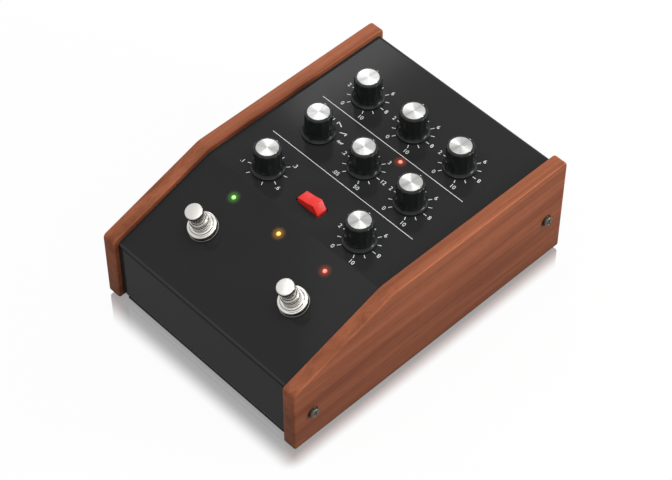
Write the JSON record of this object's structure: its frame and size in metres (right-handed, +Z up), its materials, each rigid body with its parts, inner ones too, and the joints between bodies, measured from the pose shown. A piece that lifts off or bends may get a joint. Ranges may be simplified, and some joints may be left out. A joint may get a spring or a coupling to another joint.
{
  "type": "analog delay pedal",
  "caption": "Floor effects pedal with wooden cheeks, a folded black steel case, skirted dials, a red rocker, lamps and sprung footswitches, and plug sockets at the rear.",
  "frame": {"origin": "centre of the footprint, on the surface that the feet rest on", "axes": "+X to the player's right, +Y to the rear wall with the sockets, +Z up; longest along Y"},
  "size_m": [0.1754, 0.23, 0.0968],
  "materials": {
    "wood": "satin lacquer",
    "black_steel": "fine matt powder coat",
    "rubber": "matt",
    "black_screw": "blackened",
    "bright_steel": "zinc plated",
    "control_housing": "moulded",
    "circuit_board": "solder mask",
    "chip_black": "moulded",
    "capacitor_sleeve": "shrunk sleeve",
    "ribbon_grey": "flat cable",
    "satin_nickel": "satin nickel",
    "knob_black": "moulded gloss",
    "spun_aluminium": "spun face",
    "shaft_aluminium": "turned",
    "rocker_red": "moulded satin",
    "lamp_green": "lit lens",
    "lamp_amber": "lit lens",
    "lamp_red": "lit lens"
  },
  "bodies": {
    "case": {"left_cheek": "wood", "right_cheek": "wood", "top_cover": "black_steel", "rear_panel": "black_steel", "base_tray": "black_steel", "rubber_feet": "rubber", "base_screws": "black_screw", "cheek_screws": "black_screw", "cheek_washers": "black_screw", "press_nuts": "bright_steel", "potentiometers": "control_housing", "selector_switch": "control_housing", "control_nuts": "bright_steel", "control_board": "circuit_board", "delay_chips": "chip_black", "capacitors": "capacitor_sleeve", "front_board": "circuit_board", "footswitch_bodies": "control_housing", "footswitch_bushings": "satin_nickel", "dress_nuts": "satin_nickel", "dress_washers": "satin_nickel", "rocker_switch": "control_housing", "rate_led": "lamp_red", "time_led": "lamp_green", "level_led": "lamp_amber", "bypass_led": "lamp_red", "jack_board": "circuit_board", "jack_bodies": "control_housing", "jack_nuts": "satin_nickel", "power_inlet": "control_housing", "rear_ribbon": "ribbon_grey", "front_ribbon": "ribbon_grey"},
    "drive_dial": {"drive_knob": "knob_black", "drive_cap": "spun_aluminium", "drive_shaft": "shaft_aluminium"},
    "level_dial": {"level_knob": "knob_black", "level_cap": "spun_aluminium", "level_shaft": "shaft_aluminium"},
    "mix_dial": {"mix_knob": "knob_black", "mix_cap": "spun_aluminium", "mix_shaft": "shaft_aluminium"},
    "lfo_dial": {"lfo_knob": "knob_black", "lfo_cap": "spun_aluminium", "lfo_shaft": "shaft_aluminium"},
    "rate_dial": {"rate_knob": "knob_black", "rate_cap": "spun_aluminium", "rate_shaft": "shaft_aluminium"},
    "amount_dial": {"amount_knob": "knob_black", "amount_cap": "spun_aluminium", "amount_shaft": "shaft_aluminium"},
    "time_dial": {"time_knob": "knob_black", "time_cap": "spun_aluminium", "time_shaft": "shaft_aluminium"},
    "feedback_dial": {"feedback_knob": "knob_black", "feedback_cap": "spun_aluminium", "feedback_shaft": "shaft_aluminium"},
    "rocker": {"rocker_paddle": "rocker_red"},
    "tempo_button": {"tempo_plunger": "satin_nickel"},
    "bypass_button": {"bypass_plunger": "satin_nickel"}
  },
  "joints": [
    {"name": "drive_turn", "type": "hinge", "parent": "case", "child": "drive_dial", "pos_m": [-0.04, 0.0666, 0.0773], "axis": [0, 0, 1], "range_deg": [-150, 150]},
    {"name": "level_turn", "type": "hinge", "parent": "case", "child": "level_dial", "pos_m": [0, 0.0666, 0.0773], "axis": [0, 0, 1], "range_deg": [-150, 150]},
    {"name": "mix_turn", "type": "hinge", "parent": "case", "child": "mix_dial", "pos_m": [0.04, 0.0666, 0.0773], "axis": [0, 0, 1], "range_deg": [-150, 150]},
    {"name": "lfo_turn", "type": "hinge", "parent": "case", "child": "lfo_dial", "pos_m": [-0.04, 0.0239, 0.0773], "axis": [0, 0, 1], "range_deg": [-90, 60]},
    {"name": "rate_turn", "type": "hinge", "parent": "case", "child": "rate_dial", "pos_m": [0, 0.0239, 0.0773], "axis": [0, 0, 1], "range_deg": [-150, 150]},
    {"name": "amount_turn", "type": "hinge", "parent": "case", "child": "amount_dial", "pos_m": [0.04, 0.0239, 0.0773], "axis": [0, 0, 1], "range_deg": [-150, 150]},
    {"name": "time_turn", "type": "hinge", "parent": "case", "child": "time_dial", "pos_m": [-0.04, -0.0188, 0.0773], "axis": [0, 0, 1], "range_deg": [-150, 150]},
    {"name": "feedback_turn", "type": "hinge", "parent": "case", "child": "feedback_dial", "pos_m": [0.04, -0.0188, 0.0773], "axis": [0, 0, 1], "range_deg": [-150, 150]},
    {"name": "rocker_tip", "type": "hinge", "parent": "case", "child": "rocker", "pos_m": [0, -0.0197, 0.0741], "axis": [0, 1, 0], "range_deg": [0, 24]},
    {"name": "tempo_press", "type": "slide", "parent": "case", "child": "tempo_button", "axis": [0, 0.3104, -0.9506], "range_m": [0, 0.0032], "stiffness_N_per_m": 4000, "springref_m": -0.002},
    {"name": "bypass_press", "type": "slide", "parent": "case", "child": "bypass_button", "axis": [0, 0.3104, -0.9506], "range_m": [0, 0.0032], "stiffness_N_per_m": 4000, "springref_m": -0.002}
  ]
}
